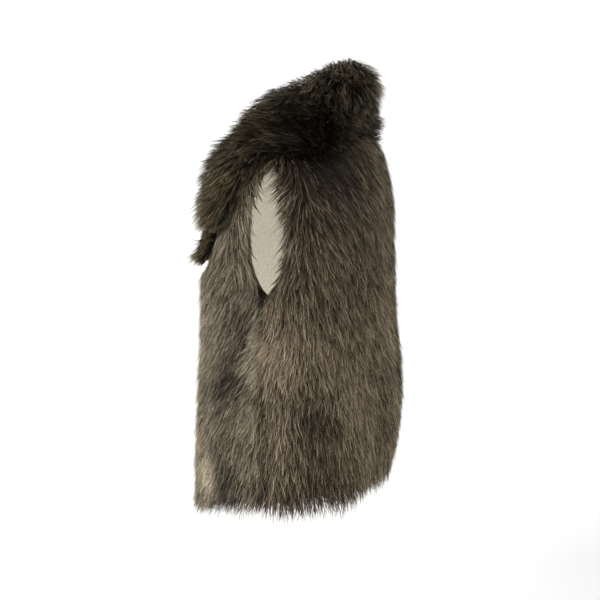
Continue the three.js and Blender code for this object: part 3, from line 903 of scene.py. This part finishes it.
def lie_of_arch(net, free_end, run, base_tone):
    """free_end is how much the fur fans out at the two ends, and run how much of it lies along the piece."""
    across = unit(np.gradient(net, axis=1))
    along = unit(np.gradient(net, axis=0))
    places = flat_places(net)
    from_start = places[..., 1]
    from_end = places[-1:, :, 1] - from_start
    ends = free_end * (np.exp(-((from_end / 0.02) ** 2)) - np.exp(-((from_start / 0.02) ** 2)))
    flow = unit(across + along * (ends + run)[..., None])
    share = places[..., 0] / places[:, -1:, 0]
    height = (0.45 + 0.55 * smooth((share - 0.15) / 0.35)) * (0.5 + 0.5 * smooth(np.minimum(from_start, from_end) / 0.03))
    nape = np.exp(-((net[..., 0] / 0.085) ** 2)) * (net[..., 1] > 0)
    height = height * (1 + (0.4 - 1.1 * nape) * smooth((share - 0.6) / 0.3))
    height *= 1 - 0.3 * smooth((-0.06 - net[..., 1]) / 0.05)
    height += patched(net, 0, FULLER)
    # The tone takes the painted light and shade patches as well.
    return flow, height[..., None], patched(net, base_tone, LIGHT_SHADE_AND_TONE_PATCHES)[..., None]


to_ends = np.sign(nets["collar"][..., 0]) * smooth(np.abs(nets["collar"][..., 0]) / 0.07)
lies["collar"] = lie_of_arch(nets["collar"], 0.5, 1.1 * to_ends, 0.01)
lies["lapel_left"] = lie_of_arch(nets["lapel_left"], 0.5, 0.7, 0.14)
lies["lapel_right"] = lie_of_arch(nets["lapel_right"], 0.5, -0.7, 0.14)

# %% Plant every piece
# Name, node, share down it, share across it, long strands, short strands.
FUR = [
    ("fur_back_top", "back", (0, 0.34), (0, 1), 33000, 6000),
    ("fur_back_middle", "back", (0.34, 0.67), (0, 1), 33000, 6000),
    ("fur_back_low", "back", (0.67, 1.01), (0, 1), 33000, 6000),
    ("fur_front_left_upper", "front_left", (0, 0.5), (0, 1), 20000, 4000),
    ("fur_front_left_lower", "front_left", (0.5, 1.01), (0, 1), 27000, 5000),
    ("fur_front_right_upper", "front_right", (0, 0.5), (0, 1), 20000, 4000),
    ("fur_front_right_lower", "front_right", (0.5, 1.01), (0, 1), 27000, 5000),
    ("fur_collar_stand", "collar", (0, 1), (0, 0.33), 9000, 2000),
    ("fur_collar_fall", "collar", (0, 1), (0.33, 1.01), 29000, 6000),
    ("fur_lapel_left", "lapel_left", (0, 1), (0, 1), 2400, 400),
    ("fur_lapel_right", "lapel_right", (0, 1), (0, 1), 2400, 400),
]
on_cloth = {node: [] for node in CLOTH}
planted = 0
for seed, (name, node, down, across, over, under) in enumerate(FUR):
    on_collar = node.startswith(("collar", "lapel"))
    if on_collar:
        look = dict(material=collar_fur, length=0.033, width=0.0009, lock=0.007, pull=0.5, ruffle=1.8, steps=3)
        look.update(tuft=0.28, speckle=0.24, mottle=0.3, lift=(70, 34))
        if node != "collar":
            look.update(length=0.028, tuft=0.4, lift=(66, 30))
    else:
        look = dict(material=front_fur, length=0.032, width=0.0006, lock=0.0045, pull=0.25, ruffle=0.6, steps=2)
        look.update(tuft=0.05, speckle=0.34, mottle=0.1, lift=(80, -5))
    if node == "back":
        look.update(material=back_fur_painted_shade, width=0.0007, speckle=0.38)
    top = grow(name, nets[node], lies[node], over, down, across, seed=100 * seed + 7, tone=0.5, **look)
    look.update(length=0.022, width=0.0024, pull=0.3, tuft=0, speckle=0.2, lift=(50, 20), steps=2)
    low = grow("under" + name, nets[node], lies[node], under, down, across, seed=100 * seed + 50, tone=0.3, **look)
    for piece in (top, low):
        on_cloth[node].append(piece)
        planted += sum(len(polygon.vertices) - 2 for polygon in piece.data.polygons)
print("fur triangles", planted)

# %% [markdown]
# ## A place to photograph it
# The vest hangs in front of a pale sweep: a floor that curves up into a wall, so that no line shows.

# %% Sweep
def sweep(name):
    bm = bmesh.new()
    profile = [(-6.0, -0.95), (1.5, -0.95)]
    profile += [(1.5 + 1.2 * math.sin(a), 0.25 - 1.2 * math.cos(a)) for a in np.linspace(0.15, math.pi / 2, 8)]
    profile.append((2.7, 5.0))
    previous = None
    for depth, z in profile:
        line = [bm.verts.new((x, depth, z)) for x in (-6, 6)]
        if previous:
            bm.faces.new([previous[0], previous[1], line[1], line[0]])
        previous = line
    bmesh.ops.rotate(bm, verts=bm.verts, cent=(0, 0, 0), matrix=Matrix.Rotation(math.pi / 2, 3, "Z"))
    mesh = bpy.data.meshes.new(name)
    for polygon in bm.faces:
        polygon.smooth = True
    bm.to_mesh(mesh)
    bm.free()
    made = bpy.data.objects.new(name, mesh)
    bpy.context.scene.collection.objects.link(made)
    return made


floor = sweep("sweep")
paper, nodes, links, shader = new_material("pale_paper")
shader.inputs["Base Color"].default_value = (0.92, 0.92, 0.92, 1)
shader.inputs["Roughness"].default_value = 0.8
floor.data.materials.append(paper)
floor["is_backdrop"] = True

# %% [markdown]
# ## Light and camera
# A large soft light from the front of the vest brightens the front panel, a weaker one fills the back, and
# the white room around does the rest.

# %% Lights
world = bpy.data.worlds.new("room")
bpy.context.scene.world = world
world.use_nodes = True
world.node_tree.nodes["Background"].inputs["Color"].default_value = (1, 1, 1, 1)
world.node_tree.nodes["Background"].inputs["Strength"].default_value = 0.9


def soft_light(name, place, target, size, power):
    lamp = bpy.data.lights.new(name, "AREA")
    lamp.shape = "DISK"
    lamp.size = size
    lamp.energy = power
    made = bpy.data.objects.new(name, lamp)
    made.location = place
    made.rotation_euler = (Vector(target) - Vector(place)).to_track_quat("-Z", "Y").to_euler()
    bpy.context.scene.collection.objects.link(made)


soft_light("key", (1.5, -1.9, 1.0), (0, 0, -0.25), 1.4, 70)
soft_light("fill", (1.6, 1.6, 0.4), (0, 0, -0.3), 1.8, 6)

# %% Camera
CAMERA_AZIMUTH, CAMERA_PITCH = math.radians(107), math.radians(11)
CAMERA_DISTANCE, CAMERA_HEIGHT = 1.400, -0.007
camera_data = bpy.data.cameras.new("camera")
camera_data.sensor_width = 36
camera_data.lens = 36 * 850 / 600
camera = bpy.data.objects.new("camera", camera_data)
away = Vector((math.sin(CAMERA_AZIMUTH), -math.cos(CAMERA_AZIMUTH), 0))
camera.location = away * CAMERA_DISTANCE + Vector((0, 0, CAMERA_HEIGHT))
look = -away * math.cos(CAMERA_PITCH) + Vector((0, 0, -math.sin(CAMERA_PITCH)))
camera.rotation_euler = look.to_track_quat("-Z", "Y").to_euler()
bpy.context.scene.collection.objects.link(camera)
bpy.context.scene.camera = camera
bpy.context.scene.view_settings.view_transform = "Standard"

# %% Print both sizes and finish
visual_box = [list(corner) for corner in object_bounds()]
print("CAD box", cad_box, "visual box", visual_box)
